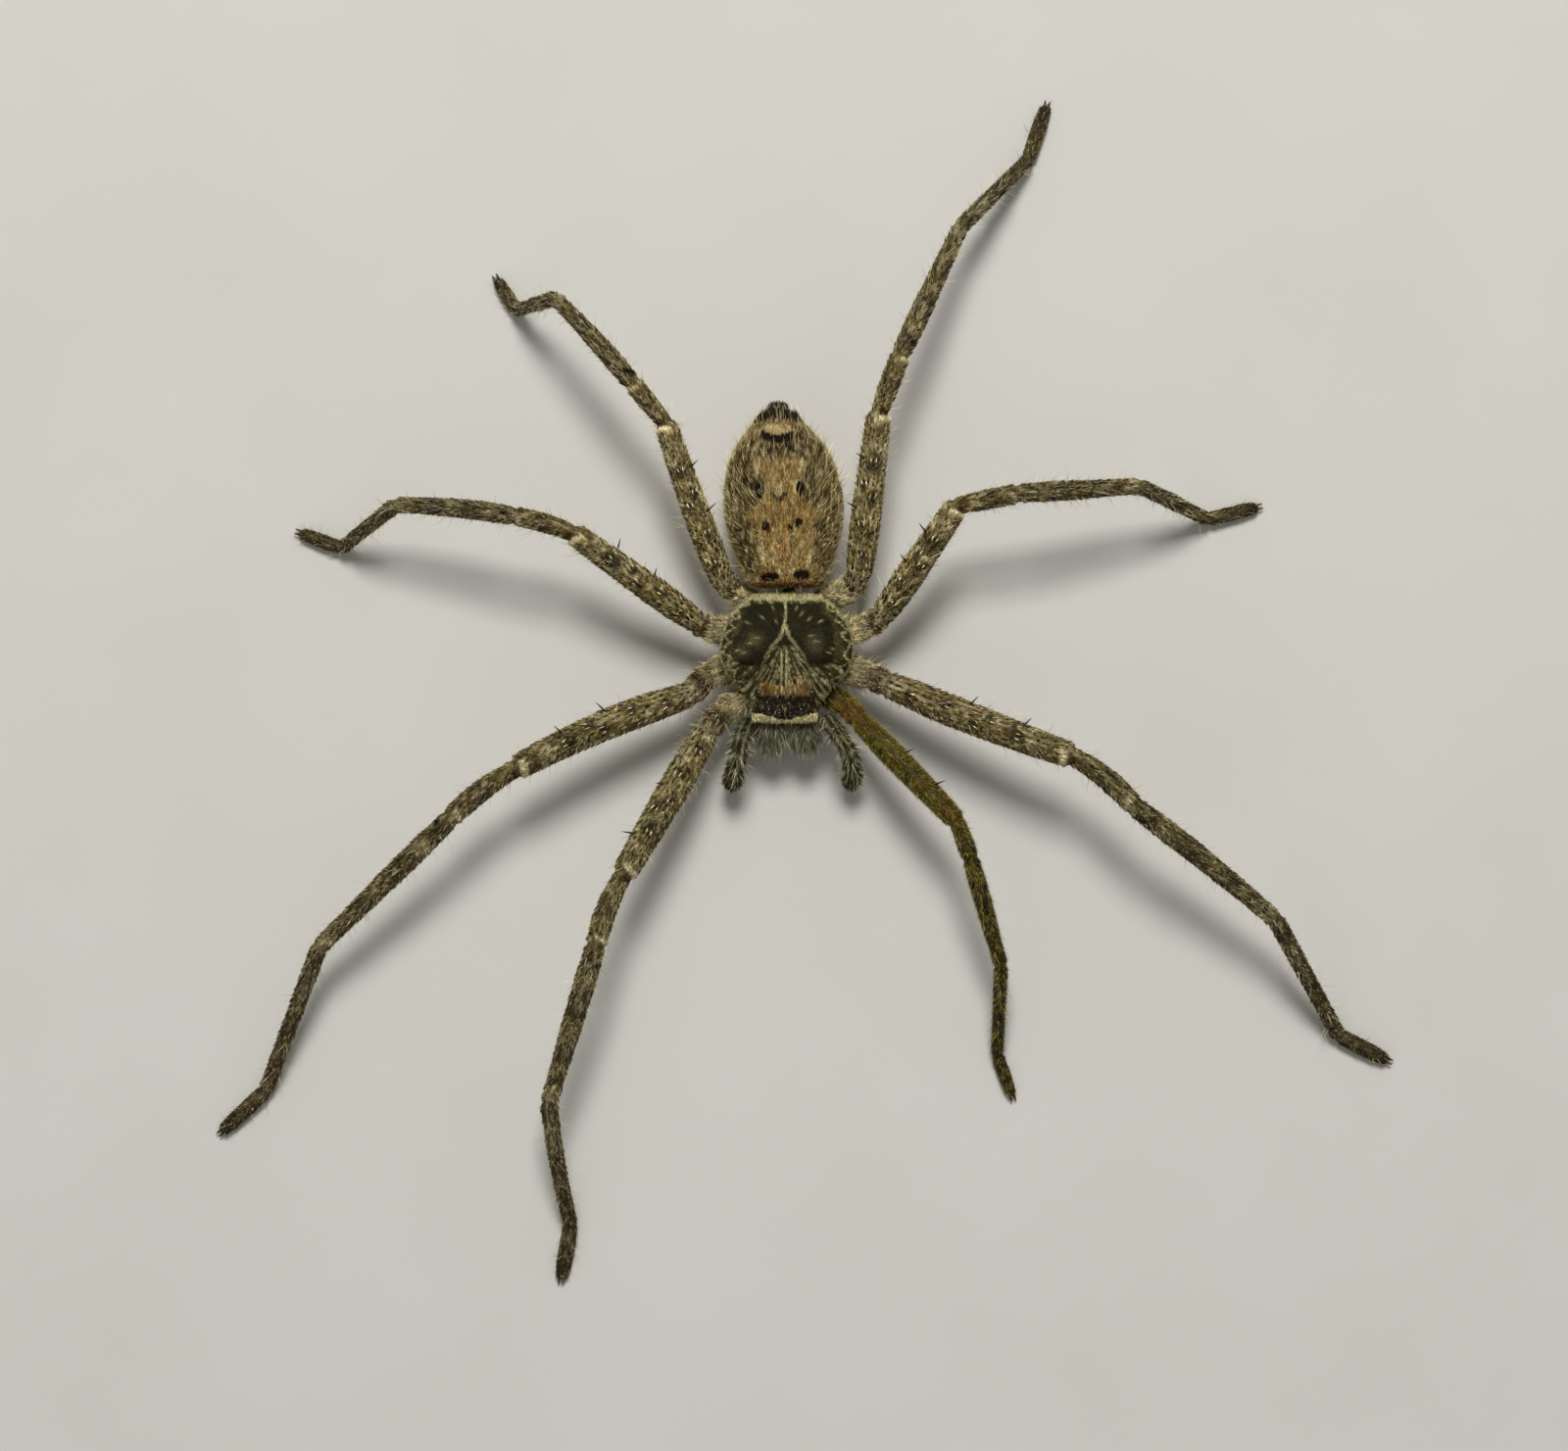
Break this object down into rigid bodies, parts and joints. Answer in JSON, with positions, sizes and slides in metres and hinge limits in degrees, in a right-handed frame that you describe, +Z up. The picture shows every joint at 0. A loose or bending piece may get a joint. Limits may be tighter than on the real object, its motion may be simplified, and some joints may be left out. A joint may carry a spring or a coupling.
{
  "type": "huntsman spider model",
  "caption": "Huntsman spider at life size, resting flat with long legs spread to the sides, one front leg regrown short and thin.",
  "frame": {"origin": "on the floor under the middle of the spider's bounding box", "axes": "+Z up from the floor, head toward -Y, the spider's left side toward +X"},
  "size_m": [0.0916, 0.0922, 0.0103],
  "materials": {
    "carapace_cuticle": "fine short hair over dark olive-brown cuticle with a pale band round the rear and a pale V",
    "abdomen_skin": "soft skin under short grey, tan and brown hair with dark spots",
    "spinneret_skin": "dark short hair",
    "underside_cuticle": "smooth yellow-brown cuticle with thin hair",
    "jaw_cuticle": "hard dark brown cuticle, satin, with long grey hair",
    "palp_cuticle": "grey-yellow cuticle with dense hair",
    "leg_cuticle": "tan cuticle mottled with dark brown under short hair, satin",
    "regrown_leg_cuticle": "even olive yellow-brown cuticle, satin, thin golden hair",
    "foot_cuticle": "dark grey-brown with dense velvet hair",
    "eye_lens": "glossy black lens"
  },
  "bodies": {
    "root": {"abdomen": "abdomen_skin", "carapace": "carapace_cuticle", "chelicera_l": "jaw_cuticle", "chelicera_r": "jaw_cuticle", "eye_front_lateral_l": "eye_lens", "eye_front_lateral_r": "eye_lens", "eye_front_median_l": "eye_lens", "eye_front_median_r": "eye_lens", "eye_rear_lateral_l": "eye_lens", "eye_rear_lateral_r": "eye_lens", "eye_rear_median_l": "eye_lens", "eye_rear_median_r": "eye_lens", "leg_l1_femur": "regrown_leg_cuticle", "leg_l1_hip": "regrown_leg_cuticle", "leg_l1_metatarsus": "regrown_leg_cuticle", "leg_l1_tarsus": "regrown_leg_cuticle", "leg_l1_tibia": "regrown_leg_cuticle", "leg_l2_femur": "leg_cuticle", "leg_l2_hip": "leg_cuticle", "leg_l2_metatarsus": "leg_cuticle", "leg_l2_tarsus": "foot_cuticle", "leg_l2_tibia": "leg_cuticle", "leg_l3_femur": "leg_cuticle", "leg_l3_hip": "leg_cuticle", "leg_l3_metatarsus": "leg_cuticle", "leg_l3_tarsus": "foot_cuticle", "leg_l3_tibia": "leg_cuticle", "leg_l4_femur": "leg_cuticle", "leg_l4_hip": "leg_cuticle", "leg_l4_metatarsus": "leg_cuticle", "leg_l4_tarsus": "foot_cuticle", "leg_l4_tibia": "leg_cuticle", "leg_r1_femur": "leg_cuticle", "leg_r1_hip": "leg_cuticle", "leg_r1_metatarsus": "leg_cuticle", "leg_r1_tarsus": "foot_cuticle", "leg_r1_tibia": "leg_cuticle", "leg_r2_femur": "leg_cuticle", "leg_r2_hip": "leg_cuticle", "leg_r2_metatarsus": "leg_cuticle", "leg_r2_tarsus": "foot_cuticle", "leg_r2_tibia": "leg_cuticle", "leg_r3_femur": "leg_cuticle", "leg_r3_hip": "leg_cuticle", "leg_r3_metatarsus": "leg_cuticle", "leg_r3_tarsus": "foot_cuticle", "leg_r3_tibia": "leg_cuticle", "leg_r4_femur": "leg_cuticle", "leg_r4_hip": "leg_cuticle", "leg_r4_metatarsus": "leg_cuticle", "leg_r4_tarsus": "foot_cuticle", "leg_r4_tibia": "leg_cuticle", "mouthparts": "underside_cuticle", "palp_l_lower": "palp_cuticle", "palp_l_upper": "palp_cuticle", "palp_r_lower": "palp_cuticle", "palp_r_upper": "palp_cuticle", "spinnerets": "spinneret_skin", "sternum": "underside_cuticle"}
  },
  "joints": []
}
